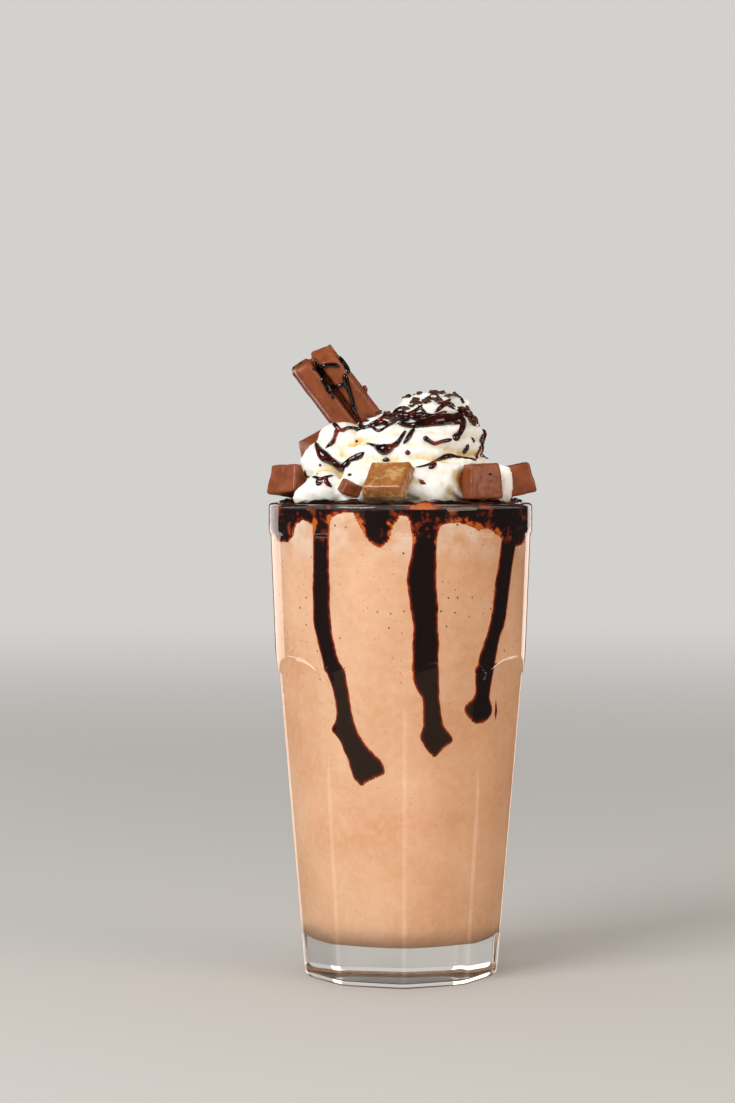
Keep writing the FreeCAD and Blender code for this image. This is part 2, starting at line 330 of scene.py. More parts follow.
def make_wall_sauce_finish():
    material, tree, output = new_material("chocolate_sauce_on_glass")
    depth = add(tree, "Attribute", attribute_name=SAUCE_DEPTH).outputs["Fac"]
    flat, height = wall_map(tree)
    band = ramp(tree, height, BAND_THINS, BAND_THIN)
    thinned = times(tree, ramp(tree, pattern(tree, 6, detail=4, roughness=0.6), 0.50, 0.66), band)
    depth = add(tree, "Math", {0: thinned, 1: -2.4, 2: depth}, operation="MULTIPLY_ADD").outputs[0]
    tone = sauce_colour(tree, depth)
    where = times(tree, band, ramp(tree, pattern(tree, 11, detail=2), 0.46, 0.6))
    froth = times(tree, spots(tree, flat, 2.1, 0.7, 0.34), where)
    tone = blend(tree, froth, tone, colour("#6e1f10"))
    sheer = times(tree, ramp(tree, pattern(tree, 5, detail=4), 0.56, 0.7), where)
    tone = blend(tree, sheer, tone, colour("#c4521f"))
    surface(tree, output, {"Base Color": tone, "Roughness": 0.5, "Specular IOR Level": 0.1})
    return material


def make_open_sauce_finish():
    material, tree, output = new_material("glossy_chocolate_sauce")
    depth = add(tree, "Attribute", attribute_name=SAUCE_DEPTH).outputs["Fac"]
    surface(tree, output, {"Base Color": sauce_colour(tree, depth), "Roughness": 0.1,
                           "Specular IOR Level": 0.6, "Coat Weight": 0.5, "Coat Roughness": 0.04})
    return material


wall_sauce_finish = make_wall_sauce_finish()
open_sauce_finish = make_open_sauce_finish()

# %% [markdown]
# ## Whipped cream
# Soft foam of fat and air: light goes in and comes out again a little warmer. The pale yellow in its creases
# and under its lobes is painted shade: the mesh carries an attribute from 0 on a crest to 1 in a crease or
# where it faces down, and the colour turns yellow along it.

# %% Whipped cream
# The attribute that carries the cream's painted shade, in creases and under its lobes.
CREAM_PAINTED_SHADE = "painted_shade"


def make_cream():
    material, tree, output = new_material("whipped_cream")
    painted_shade = add(tree, "Attribute", attribute_name=CREAM_PAINTED_SHADE).outputs["Fac"]
    # Painted shade: pale yellow, then deeper yellow, as the attribute rises into creases and undersides.
    tone = blend(tree, ramp(tree, painted_shade, 0.0, 0.55), colour("#fffdf4"), colour("#f6e2b0"))
    tone = blend(tree, ramp(tree, painted_shade, 0.5, 1.0), tone, colour("#ecc479"))
    grain = add(tree, "Bump", {"Height": pattern(tree, 0.9, detail=4, roughness=0.6), "Strength": 0.25,
                               "Distance": 0.0003})
    surface(tree, output, {"Base Color": tone, "Roughness": 0.42, "Specular IOR Level": 0.4,
                           "Subsurface Weight": 0.45, "Subsurface Scale": 0.0025,
                           "Subsurface Radius": (1.0, 0.72, 0.4), "Normal": grain.outputs[0]})
    return material


cream_finish = make_cream()

# %% [markdown]
# ## Moulded chocolate
# Milk chocolate cast in a mould and turned out: satin, clouded where it cooled, with a fine grain. The
# caramel one has the same make with a browner-gold, shinier skin, with pale gold highlights painted on it in
# patches.

# %% Moulded milk chocolate
def make_chocolate(name, light, dark, roughness, coat, painted_highlight_patches=0.0):
    material, tree, output = new_material(name)
    cloud = ramp(tree, pattern(tree, 6, detail=4, roughness=0.6), 0.35, 0.7)
    tone = blend(tree, cloud, colour(dark), colour(light))
    # Painted highlight: pale gold patches mixed into the colour.
    if painted_highlight_patches:
        pale = ramp(tree, pattern(tree, 3.4, detail=3, roughness=0.65), 0.53, 0.66)
        tone = blend(tree, times(tree, pale, painted_highlight_patches), tone, colour("#f0cf96"))
    rough = add(tree, "MapRange", {"Value": pattern(tree, 3.5, detail=3), "To Min": roughness - 0.08,
                                   "To Max": roughness + 0.12})
    grain = add(tree, "Bump", {"Height": pattern(tree, 0.7, detail=3), "Strength": 0.2, "Distance": 0.0002})
    surface(tree, output, {"Base Color": tone, "Roughness": rough.outputs["Result"],
                           "Specular IOR Level": 0.5, "Coat Weight": coat, "Coat Roughness": 0.2,
                           "Subsurface Weight": 0.08, "Subsurface Scale": 0.001,
                           "Subsurface Radius": (1.0, 0.4, 0.2), "Normal": grain.outputs[0]})
    return material


chocolate_finish = make_chocolate("moulded_milk_chocolate", "#a3552f", "#7f3f20", roughness=0.36, coat=0.1)
caramel_finish = make_chocolate("moulded_caramel_chocolate", "#b9783c", "#8f5626", roughness=0.24, coat=0.6,
                                painted_highlight_patches=0.4)
shaving_finish = make_chocolate("chocolate_shavings", "#6a3a22", "#3a1a0d", roughness=0.4, coat=0.0)

# %% [markdown]
# ## The glass
# A tall tumbler with a plain rim band and nine flats that end in rounded arches. The profile is spun
# round the axis in fine steps; the outer skin is then drawn in onto the flats, with a soft minimum so that
# the ridges between them stay round, as a mould leaves them.

# %% The glass's outline
BAND_HEIGHT, BAND_STEP, BAND_EASE = 11 * MM, 0.6 * MM, 2.0 * MM
SHOULDER_Z, SHOULDER_R, FOOT_R = RIM_Z - 49 * MM, RIM_R - 2.1 * MM, RIM_R - 11.2 * MM
HEEL, FLOOR_CORNER = 2.5 * MM, 8 * MM
PANELS, RIDGE_TURN, RIDGE_WIDTH = 9, radians(2), 1.6 * MM
RIDGE_ROUNDING = 1.0 * MM
ARCH_FOOT, ARCH_RISE, SCOOP = RIM_Z - 59 * MM, 6 * MM, 3 * MM
RIDGE_SOFTNESS = 0.12 * MM


def body_radius(z):
    """The outer radius with no panels."""
    if z >= RIM_Z - BAND_HEIGHT:
        return RIM_R - BAND_STEP * (1 - smoothstep((z - RIM_Z + BAND_HEIGHT) / BAND_EASE))
    if z >= SHOULDER_Z:
        share = (z - SHOULDER_Z) / (RIM_Z - BAND_HEIGHT - SHOULDER_Z)
        return SHOULDER_R + share * (RIM_R - BAND_STEP - SHOULDER_R)
    return FOOT_R + z / SHOULDER_Z * (SHOULDER_R - FOOT_R)


def soft_least(a, b, softness):
    """The lesser of two radii, with the corner between them rounded."""
    return min(a, b) - softness * log(1 + exp(-abs(a - b) / softness))


def outer_radius(z, around):
    """The outer radius with the flats, at an angle from the front; each flat ends in an arch."""
    body = body_radius(z)
    step = 2 * pi / PANELS
    off = (around - RIDGE_TURN) % step - step / 2
    top = ARCH_FOOT + ARCH_RISE * sqrt(max(0, 1 - (2 * off / step) ** 2))
    rise = z - top
    if rise >= SCOOP:
        return body
    below = min(z, top)
    half = body_radius(below) * sin(pi / PANELS) - RIDGE_WIDTH / 2
    flat = sqrt(body_radius(below) ** 2 - half**2)
    if rise > 0:
        flat += SCOOP - sqrt(SCOOP**2 - rise**2)
    flat = soft_least(flat / cos(off), flat / cos(step - abs(off)), RIDGE_ROUNDING)
    return soft_least(body, flat, RIDGE_SOFTNESS)


def row_heights():
    """Heights of the outer skin's rows: close together where the arches and the band are."""
    rows, z = [], HEEL
    while z < RIM_Z - BAND_HEIGHT - BAND_EASE:
        rows.append(z)
        z += 0.5 * MM if ARCH_FOOT - 2 * MM < z < ARCH_FOOT + ARCH_RISE + SCOOP + MM else 3 * MM
    rows += [RIM_Z - BAND_HEIGHT - MM + k * BAND_EASE / 5 for k in range(9)]
    return rows + [LIP_Z - 5 * MM, LIP_Z - 2 * MM, LIP_Z]


# %% Spinning and panelling the glass
def spin_profile(points, steps):
    """A closed skin: the (radius, height) points spun once round the axis and welded."""
    work = bmesh.new()
    corners = [work.verts.new((r, 0, z)) for r, z in points]
    edges = [work.edges.new(pair) for pair in zip(corners, corners[1:])]
    bmesh.ops.spin(work, geom=corners + edges, cent=(0, 0, 0), axis=(0, 0, 1), dvec=(0, 0, 0),
                   angle=2 * pi, steps=steps, use_merge=True)
    bmesh.ops.remove_doubles(work, verts=work.verts, dist=1e-6)
    bmesh.ops.recalc_face_normals(work, faces=work.faces)
    return work


def angle_from_front(x, y):
    """0 at the front, growing to the right."""
    return atan2(x, -y)


def make_glass_piece():
    heel = [(FOOT_R - HEEL + HEEL * sin(a), HEEL - HEEL * cos(a)) for a in np.linspace(0, pi / 2, 7)]
    outer = [(body_radius(z), z) for z in row_heights()]
    lip = [(RIM_R - WALL / 2 + WALL / 2 * cos(a), LIP_Z + WALL / 2 * sin(a)) for a in np.linspace(0, pi, 13)]
    corner_z = FLOOR_Z + FLOOR_CORNER
    inner = [(inner_radius(z), z) for z in np.linspace(LIP_Z, corner_z, 40)]
    corner_r = inner_radius(corner_z) - FLOOR_CORNER
    corner = [(corner_r + FLOOR_CORNER * cos(a), corner_z - FLOOR_CORNER * sin(a))
              for a in np.linspace(0, pi / 2, 9)]
    base = [(0, 0), (FOOT_R / 3, 0), (2 * FOOT_R / 3, 0)]
    floor = [(corner_r / 2, FLOOR_Z), (0, FLOOR_Z)]
    points = base + heel + outer[1:] + lip[1:] + inner[1:] + corner[1:] + floor
    work = spin_profile(points, steps=PANELS * 32)
    for vert in work.verts:
        r = vert.co.xy.length
        if r > inner_radius(vert.co.z) + WALL / 2 and HEEL <= vert.co.z < ARCH_FOOT + ARCH_RISE + SCOOP:
            wanted = outer_radius(vert.co.z, angle_from_front(vert.co.x, vert.co.y))
            vert.co.xy *= wanted / r
        elif vert.co.z < HEEL and r > FOOT_R - 2 * HEEL:
            pull = outer_radius(HEEL, angle_from_front(vert.co.x, vert.co.y)) / FOOT_R
            vert.co.xy *= 1 + (pull - 1) * smoothstep((r - FOOT_R + 2 * HEEL) / HEEL)
    finish_piece(work, "glass_tumbler", glass_finish, ["glass"])


make_glass_piece()

# %% [markdown]
# ## The drink
# The drink fills the glass. Its skin reaches a quarter of a millimetre into the wall, so that no sliver of
# air shows between the two.

# %% The drink
INTO_WALL = 0.25 * MM
DRINK_TOP = RIM_Z - 2.5 * MM


def make_drink():
    corner_z = FLOOR_Z + FLOOR_CORNER
    corner_r = inner_radius(corner_z) - FLOOR_CORNER
    reach = FLOOR_CORNER + INTO_WALL
    points = [(0, FLOOR_Z - INTO_WALL), (corner_r / 2, FLOOR_Z - INTO_WALL)]
    points += [(corner_r + reach * sin(a), corner_z - reach * cos(a)) for a in np.linspace(0, pi / 2, 9)]
    points += [(inner_radius(z) + INTO_WALL, z) for z in np.linspace(corner_z, DRINK_TOP, 60)[1:]]
    points += [(inner_radius(DRINK_TOP) / 2, DRINK_TOP), (0, DRINK_TOP)]
    work = spin_profile(points, steps=144)
    finish_piece(work, "drink", milkshake_finish, ["milkshake"])


make_drink()

# %% [markdown]
# ## Sauce on the wall
# A ragged band hangs from the rim, and three long runs have crept down between the drink and the glass.
# Each run is given the way one sees it: at a depth below the rim, its left and right edge across from the
# axis. The wall bends that view, so a short piece of optics finds the angle round the glass from which such
# an edge is seen. The rest of the way round, the band's edge comes from noise, with four runs of its own.

# %% A curve through listed points
def smooth_line(points, step=0.45):
    """A curve through listed points, at even steps."""
    points = [Vector(p) for p in points]
    points = [points[0] * 2 - points[1]] + points + [points[-1] * 2 - points[-2]]
    line = []
    for a, b, c, d in zip(points, points[1:], points[2:], points[3:]):
        pieces = max(2, int((c - b).xy.length / step))
        for k in range(pieces):
            t = k / pieces
            line.append(0.5 * (2 * b + (c - a) * t + (2 * a - 5 * b + 4 * c - d) * t**2
                               + (3 * b - a - 3 * c + d) * t**3))
    return line + [points[-2]]


# %% Where something seen through the wall really lies
def seen_at(across, depth):
    """Angle from the front and depth, on the inner wall, of what shows so far across and below the rim."""
    turn, true_depth = 0.0, depth
    above = EYE.z - RIM_Z
    for _ in range(4):
        z = RIM_Z - true_depth
        outer, inner = body_radius(z), inner_radius(z)
        nearer = 1 + inner * cos(turn) / EYE.y
        share = clamp(across * nearer / outer, -0.999, 0.999)
        turn = asin(share) - asin(share / GLASS_IOR) + asin(share * outer / (GLASS_IOR * inner))
        true_depth = (depth + above) * nearer - above
    return turn, true_depth


LEFT_RUN = [(0, -29.6, -22.6), (9, -29.1, -23.7), (26, -29.2, -23.6), (39, -29, -23.2), (46, -27.7, -22.2),
            (51.5, -26.3, -20.8), (57, -25, -18.8), (62.5, -23, -17.8), (68, -22.2, -16.9),
            (72.4, -22, -16), (74.6, -23.1, -15.2), (76.4, -23.4, -14.6), (78, -21.9, -13.6),
            (80.2, -20.5, -12.2), (83, -19.4, -9.6), (86, -18, -6.4), (88.8, -17.4, -5),
            (90.8, -16.6, -5.1), (91.8, -16.2, -7.6), (93, -15.4, -10.4), (94, -14.2, -12.2)]
MIDDLE_RUN = [(0, 2.4, 13.6), (8, 3.4, 12.8), (14, 4, 12), (20, 3, 12), (26, 2, 12),
              (34, 3.2, 12.4), (43, 4.2, 12.6), (52, 3.8, 12.8), (58, 3.7, 13), (62, 5, 13.1),
              (66, 7.1, 13.3),
              (72, 7.3, 14), (75.7, 7.1, 15.3), (77.6, 6.5, 16.9), (79, 6.5, 17.7), (80.4, 7.2, 17.8),
              (81.2, 7.7, 16.2), (82.4, 8.4, 14.6), (83.5, 9.3, 13.5), (84.6, 10.4, 12.3)]
RIGHT_RUN = [(0, 33, 40), (12, 33.6, 38.6), (26, 31.6, 36.6), (39, 30, 34.9), (46, 27.8, 32.9),
             (52.4, 25.9, 31.6), (58, 25.6, 30.6), (63.4, 25.3, 29.8), (65.2, 24.4, 29.5), (66.8, 22.6, 30),
             (68.5, 21.8, 30.5), (69.8, 22, 30.7), (71.3, 23, 30.1), (72.4, 24, 29.2),
             (73.3, 24.8, 28)]
SMALL_RUN = [(66, 32, 32.3), (68.5, 31.8, 32.8), (70.4, 31.7, 32.8), (72, 32, 32.3)]
BAND_EDGE = [(-43, 11.5), (-40.5, 12.9), (-37.2, 13.2), (-35.6, 10.5), (-34.4, 7), (-32.4, 5.8),
             (-30.6, 6.4), (-28, 9), (-24.4, 9.5), (-22.8, 5), (-19, 3), (-16, 3.4), (-14.2, 6.6),
             (-12, 10.8), (-9.4, 14), (-6.6, 14.8), (-3.8, 12.8), (-2.2, 7.4), (0.2, 4.2), (2, 4.6), (4, 9),
             (12, 9.8),
             (14.2, 7.4), (18, 6.6), (22.6, 7.4), (26, 9.4), (29, 8.6), (32, 10), (35, 13), (39, 14.6),
             (41.6, 12.6), (43.2, 9.5)]
BACK_RUNS = [(118, 58, 6.0), (163, 88, 7.5), (214, 47, 5.5), (247, 70, 6.5)]  # angle, length, width


def softened(run):
    """A run's edges at every third of a millimetre, curved and brought together at the foot."""
    foot = (run[-1][1] + run[-1][2]) / 2
    run = run + [(run[-1][0] + 0.7, foot, foot)]
    fine = np.arange(run[0][0], run[-1][0], 1 / 3)
    weights = np.exp(-(np.arange(-4, 5) / 2.4) ** 2)
    weights /= weights.sum()
    edges = []
    for side in (1, 2):
        curve = np.array(smooth_line([(row[side], row[0]) for row in run]))
        level = np.interp(fine, np.maximum.accumulate(curve[:, 1]), curve[:, 0])
        edges.append(np.convolve(np.pad(level, 4, mode="edge"), weights, "valid"))
    return zip(fine, *edges)


def run_edges(run):
    """A run's stations as (depth, left angle, right angle)."""
    stations = []
    for depth, left, right in softened(run):
        left_turn, left_depth = seen_at(left * MM, depth * MM)
        right_turn, right_depth = seen_at(right * MM, depth * MM)
        stations.append(((left_depth + right_depth) / 2, left_turn, right_turn))
    return stations


def back_run(angle, length, width):
    """A plain run for a side that no station describes: narrow, wavering, with a fat drop at its foot."""
    stations = []
    for share in np.linspace(0, 1, 60):
        depth = share * length
        middle = radians(angle) + 0.06 * noise.noise(Vector((angle, 4 * share, 0)))
        half = width / 2 * (0.95 - 0.25 * share + 0.25 * noise.noise(Vector((0, 6 * share, angle))))
        from_foot = length - depth
        half += width / 3 * exp(-((from_foot - 4) / 3) ** 2)
        half *= sqrt(clamp(from_foot / 3.5)) if from_foot < 3.5 else 1
        turn = half * MM / inner_radius(RIM_Z - depth * MM)
        stations.append((depth * MM, middle - turn, middle + turn))
    return stations


# %% The sauce's outline as one function
RUNS = [run_edges(run) for run in (LEFT_RUN, MIDDLE_RUN, RIGHT_RUN, SMALL_RUN)]
RUNS += [back_run(*run) for run in BACK_RUNS]
band_angles, band_depths = zip(*[seen_at(x * MM, d * MM) for x, d in BAND_EDGE])


def band_edge(turn):
    """How far down the band reaches, at angles from the front."""
    shown = np.interp(turn, band_angles, band_depths)
    rough = [noise.fractal(Vector((cos(t) * 5, sin(t) * 5, 3)), 0.7, 2.0, 3) for t in turn]
    ragged = np.array([(8 + 6 * value) * MM for value in rough])
    away = np.clip((np.abs(turn) - band_angles[-1] + 0.15) / 0.15, 0, 1)
    fine = np.array([0.5 * MM * noise.noise(Vector((cos(t) * 26, sin(t) * 26, 0))) for t in turn])
    return shown * (1 - away) + ragged * away + fine


def outside_sauce(turn, depth):
    """Below 0 inside the sauce and above 0 outside it: roughly the distance to its edge."""
    nearest = depth - np.interp(turn, BAND_ORDER, BAND_REACH)
    radius = inner_radius(RIM_Z - depth)
    for count, run in enumerate(RUNS):
        depths, lefts, rights = np.array(run).T
        wobble = np.interp(depth, WOBBLE_DEPTHS, WOBBLES[count % len(WOBBLES)])
        left, right = np.interp(depth, depths, lefts), np.interp(depth, depths, rights)
        here = turn + 2 * pi * np.round(((left + right) / 2 - turn) / (2 * pi))
        side = np.maximum(left - here, here - right) * radius + wobble
        end = np.maximum(depth - depths[-1], depths[0] - depth)
        nearest = np.minimum(nearest, np.maximum(side, end))
    return nearest


WOBBLE_DEPTHS = np.arange(0, 100, 0.7) * MM
WOBBLES = [[0.32 * MM * noise.fractal(Vector((d * 170, 7 * k, 0)), 0.6, 2.0, 3) for d in WOBBLE_DEPTHS]
           for k in range(4)]
BAND_ORDER = np.linspace(-pi, pi, 1441)
BAND_REACH = band_edge(BAND_ORDER)

# %% Cutting the sauce out of a fine grid and wrapping it round the wall
SAUCE_STEP = 0.5 * MM
SAUCE_START = 1.6 * MM  # below the rim, where the pool's edge covers it
SAUCE_LONGEST = 95.5 * MM
SAUCE_PROUD = 0.45 * MM  # how far the sauce reaches into the wall
SAUCE_INSIDE = 0.5 * MM  # and how far inside it


def trimmed_grid():
    """A flat grid of angle and depth, with its corners near the sauce's edge pulled onto it."""
    columns = int(2 * pi * inner_radius(RIM_Z) / SAUCE_STEP)
    rows = int((SAUCE_LONGEST - SAUCE_START) / SAUCE_STEP)
    work = bmesh.new()
    bmesh.ops.create_grid(work, x_segments=columns, y_segments=rows, size=0.5)
    verts = list(work.verts)
    flat = np.array([vert.co[:2] for vert in verts])
    turn = flat[:, 0] * 2 * pi
    depth = SAUCE_START + (flat[:, 1] + 0.5) * (SAUCE_LONGEST - SAUCE_START)
    away = outside_sauce(turn, depth)
    step = 0.1 * MM
    radius = inner_radius(RIM_Z - depth)
    aside = step / radius
    across = (outside_sauce(turn + aside, depth) - outside_sauce(turn - aside, depth)) / step / 2
    down = (outside_sauce(turn, depth + step) - outside_sauce(turn, depth - step)) / step / 2
    near = np.abs(away) < 0.8 * SAUCE_STEP
    pull = np.where(near, away / np.maximum(across**2 + down**2, 0.5), 0)
    seam = np.abs(np.abs(turn) - pi) < 1e-6
    turn = turn - np.where(seam, 0, pull * across / radius)
    depth = depth - np.where(seam, 0, pull * down)
    for vert, place in zip(verts, zip(turn, depth)):
        vert.co = (*place, 0)
    gone = [vert for vert, far in zip(verts, away) if far > 0.8 * SAUCE_STEP]
    bmesh.ops.delete(work, geom=gone, context="VERTS")
    stray = [vert for vert in work.verts if not vert.link_faces]
    bmesh.ops.delete(work, geom=stray, context="VERTS")
    return work


def make_wall_sauce():
    work = trimmed_grid()
    at_seam = pi - 1e-4
    rim = [vert for vert in work.verts if vert.is_boundary and abs(vert.co.x) < at_seam]
    rim = [vert for vert in rim if vert.co.y > SAUCE_START + SAUCE_STEP]
    edges = kdtree.KDTree(len(rim))
    for k, vert in enumerate(rim):
        edges.insert((vert.co.x * RIM_R, vert.co.y, 0), k)
    edges.balance()
    layer = work.verts.layers.float.new(SAUCE_DEPTH)
    for vert in work.verts:
        z = RIM_Z - vert.co.y
        from_edge = edges.find((vert.co.x * RIM_R, vert.co.y, 0))[2] / MM
        vert[layer] = from_edge
        r = inner_radius(z) + INTO_WALL + (SAUCE_PROUD - INTO_WALL) * smoothstep(0.15 + from_edge / 1.2)
        vert.co = (r * sin(vert.co.x), -r * cos(vert.co.x), z)
    bmesh.ops.remove_doubles(work, verts=work.verts, dist=0.02 * MM)
    bmesh.ops.recalc_face_normals(work, faces=work.faces)
    inside = bmesh.ops.extrude_face_region(work, geom=list(work.faces), use_keep_orig=True)["geom"]
    for vert in (item for item in inside if isinstance(item, bmesh.types.BMVert)):
        vert.co.xy *= 1 - SAUCE_INSIDE / vert.co.xy.length
    bmesh.ops.recalc_face_normals(work, faces=work.faces)
    finish_piece(work, "sauce_on_wall", wall_sauce_finish)


make_wall_sauce()

# %% [markdown]
# ## The pool of sauce at the rim
# Sauce lies in the mouth of the glass and bulges over its lip. A turned profile gives the dome; noise then
# makes its level uneven. Where it is thin at the lip, light comes through it orange.

# %% The pool
POOL_FLOOR = RIM_Z - 8 * MM
POOL_PROUD = 0.1 * MM  # into the wall, but less than the drink, which shows in front of it
THIN_SPOTS = [  # degrees from the front, spread, depth
    (10, 9, -0.35), (40, 5, 0.2), (-33, 3, 0.6), (120, 9, 0.3), (-100, 8, 0.3)]


def make_pool():
    reach = inner_radius(LIP_Z) + POOL_PROUD
    dome = SAUCE_TOP - LIP_Z
    inside = [(0, POOL_FLOOR)] + [(inner_radius(POOL_FLOOR) * k / 4, POOL_FLOOR) for k in range(1, 4)]
    wall = [(inner_radius(z) + POOL_PROUD, z) for z in np.linspace(POOL_FLOOR, LIP_Z, 12)]
    shoulder = [(reach - 3 * MM * (1 - cos(a)), LIP_Z + dome * sin(a)) for a in np.linspace(0, pi / 2, 9)[1:]]
    top = [(r, SAUCE_TOP) for r in np.linspace(reach - 4 * MM, 0, 20)]
    work = spin_profile(inside + wall + shoulder + top, steps=216)
    layer = work.verts.layers.float.new(SAUCE_DEPTH)
    for vert in work.verts:
        turn = degrees(angle_from_front(vert.co.x, vert.co.y))
        from_wall = max(reach - vert.co.xy.length, 0) / MM
        vert[layer] = 1.5 + from_wall
        for middle, spread, depth in THIN_SPOTS:
            near = exp(-((turn - middle) / spread) ** 2)
            vert[layer] += (depth + from_wall * 0.5 - vert[layer]) * near
        if vert.co.z > LIP_Z + 0.1 * MM:
            sway = noise.fractal(vert.co * 180, 0.8, 2.0, 3)
            share = (vert.co.z - LIP_Z) / dome
            vert.co.z = min(vert.co.z + share * (0.9 * sway - 0.5) * MM, SAUCE_TOP + 0.3 * MM)
    finish_piece(work, "sauce_pool", open_sauce_finish, ["syrup"])


make_pool()

# %% [markdown]
# ## Piped cream
# A star nozzle lays a thick rope with rounded ridges that twist as it goes, in three rings that climb and
# close to a tip, with a few dollops against the rim. A ring of vertices is extruded from station to station
# along the rope; a voxel remesh then fuses rope, dollops and core into one skin, as soft cream fuses.

# %% A ring extruded along a path
AROUND = "around"


def sweep(work, frames, segments, ridge=None):
    """Extrudes a ring along frames of (centre, side, up, turn); ridge(angle) scales its radius."""
    layer = work.verts.layers.float.get(AROUND) or work.verts.layers.float.new(AROUND)
    ring = bmesh.ops.create_circle(work, segments=segments, radius=1)["verts"]
    for k, vert in enumerate(ring):
        vert[layer] = 2 * pi * k / segments
    edges = list({edge for vert in ring for edge in vert.link_edges})
    bmesh.ops.contextual_create(work, geom=edges)

    def place(verts, frame_here):
        centre, side, up, turn = frame_here
        for vert in verts:
            around = vert[layer]
            scale = ridge(around + turn) if ridge else 1
            vert.co = centre + (side * cos(around) + up * sin(around)) * scale

    place(ring, frames[0])
    for frame_here in frames[1:]:
        made = bmesh.ops.extrude_edge_only(work, edges=edges)["geom"]
        verts = [item for item in made if isinstance(item, bmesh.types.BMVert)]
        new = set(verts)
        edges = [item for item in made if isinstance(item, bmesh.types.BMEdge) and set(item.verts) <= new]
        place(verts, frame_here)
    bmesh.ops.contextual_create(work, geom=edges)


# %% The rope's path
def rim_point(x, y, h):
    """Millimetres across, behind and above the rim, as a place in the scene."""
    return Vector((x * MM, y * MM, RIM_Z + h * MM))


ROPE_TURNS = [  # turns made, ring radius, its centre across and behind, height, tilt rightward, rope radius
    (0, 24.5, 0, 0, 6, 0, 8), (0.20, 25, 0, 0, 6.4, 0.02, 8.2),
    (0.50, 26.8, 0, 0, 7, 0.02, 8.8), (0.80, 24.5, 0, 0, 9, 0.04, 8.8),
    (0.95, 21, 0, 0, 11, 0.06, 8.4), (1.15, 18.5, 0.5, 0, 16.5, 0.10, 8.8),
    (1.50, 18.2, 1, 0.5, 19.5, 0.16, 8.8), (2, 15.5, 2.5, 1, 22, 0.20, 8.4),
    (2.30, 9.5, 6, 1, 27, 0.20, 7.2), (2.70, 6.8, 9.5, 1, 29.6, 0.16, 6.6),
    (3.10, 3.6, 10.5, 0.5, 31.6, 0.08, 5.2), (3.30, 1.2, 11, 0, 34, 0, 3),
    (3.38, 0.4, 11.5, -0.3, 36.4, 0, 0.9)]
ROPE_START = radians(232)  # from +X, counter-clockwise seen from above
RIDGES, RIDGE_DEPTH, RIDGE_TWIST = 8, 0.17, 0.46


def rope_station(turns):
    """The rope's centre and its radius after so many turns."""
    columns = np.array(ROPE_TURNS).T
    ring, x, y, h, tilt, thick = (np.interp(turns, columns[0], column) for column in columns[1:])
    angle = ROPE_START + 2 * pi * turns
    wander = noise.noise(Vector((3.1 * turns, 0, 5)))
    across, behind = ring * cos(angle), ring * sin(angle)
    centre = rim_point(x + across, y + behind, h + tilt * across + 1.2 * wander)
    return centre, thick * MM * (1 + 0.1 * wander)


def star(angle):
    """Rounded ridges with narrow creases between them."""
    return 1 - RIDGE_DEPTH * (1 - abs(cos(RIDGES / 2 * angle)) ** 0.7)


def rope_frames():
    """The rope's centre, side, up and twist, station by station."""
    turns = np.concatenate([np.linspace(0, 2, 190, endpoint=False), np.linspace(2, ROPE_TURNS[-1][0], 90)])
    stations = [rope_station(t) for t in turns]
    frames, twist = [], 0.0
    for k, (centre, thick) in enumerate(stations):
        before, after = stations[max(k - 1, 0)][0], stations[min(k + 1, len(stations) - 1)][0]
        along = (after - before).normalized()
        side = along.cross(Vector((0, 0, 1))).normalized()
        if k:
            twist += RIDGE_TWIST * (centre - stations[k - 1][0]).length / max(thick, 2 * MM)
        frames.append((centre, side * thick, side.cross(along) * thick, twist))
    return frames


# %% Rope, dollops and core fused into one skin
DOLLOPS = [  # across, behind, height, radius, lean of the tip
    (-24.5, -20.5, 4, 6.8, (-4.5, -0.5, -1)), (-15, -25, 3.6, 6, (2, -1, 3)),
    (9.6, -27, 3.8, 5.8, (-3, -1, 2.5)), (29.5, -9, 9, 4.6, (3, -1, 1)),
    (32.6, -12.8, 3.6, 4.4, (1.6, -0.5, 3.4)), (32, 8, 4, 6.4, (4, 2, 4)),
    (2, 31, 4.2, 7.2, (3, 4, 4)), (-29, 7, 3.2, 5.6, (-2, 0, 2)),
    (-19, -9, 18.6, 8.4, (-1, -1, 1)), (-22.5, -10, 13, 9.2, (-1.5, 0, 0)),
    (20.2, 1, 31, 3.2, (0.8, 0, 1))]
CREAM_VOXEL = 0.62 * MM


def add_ball(work, centre, radii, tip=None):
    """A ball, with its top drawn out to a soft tip."""
    made = bmesh.ops.create_uvsphere(work, u_segments=24, v_segments=16, radius=1)["verts"]
    for vert in made:
        unit = vert.co.copy()
        vert.co = centre + Vector((unit.x * radii[0], unit.y * radii[1], unit.z * radii[2]))
        if tip is not None:
            toward = clamp(unit.dot(tip.normalized()))
            vert.co += tip * toward**5


def voxel_skin(mesh, voxel):
    """One closed, slightly softened skin round overlapping shells."""
    thing = link(mesh)
    remesh = thing.modifiers.new("remesh", "REMESH")
    remesh.mode = "VOXEL"
    remesh.voxel_size = voxel
    soften = thing.modifiers.new("smooth", "SMOOTH")
    soften.factor = 0.5
    soften.iterations = 3
    return scratch_mesh(thing)


def coordinates(mesh):
    flat = np.empty(len(mesh.vertices) * 3)
    mesh.vertices.foreach_get("co", flat)
    return flat.reshape(-1, 3)


def vertex_normals(mesh):
    flat = np.empty(len(mesh.vertices) * 3)
    mesh.vertex_normals.foreach_get("vector", flat)
    return flat.reshape(-1, 3)


def move_vertices(mesh, places):
    mesh.vertices.foreach_set("co", places.ravel())
    mesh.update()


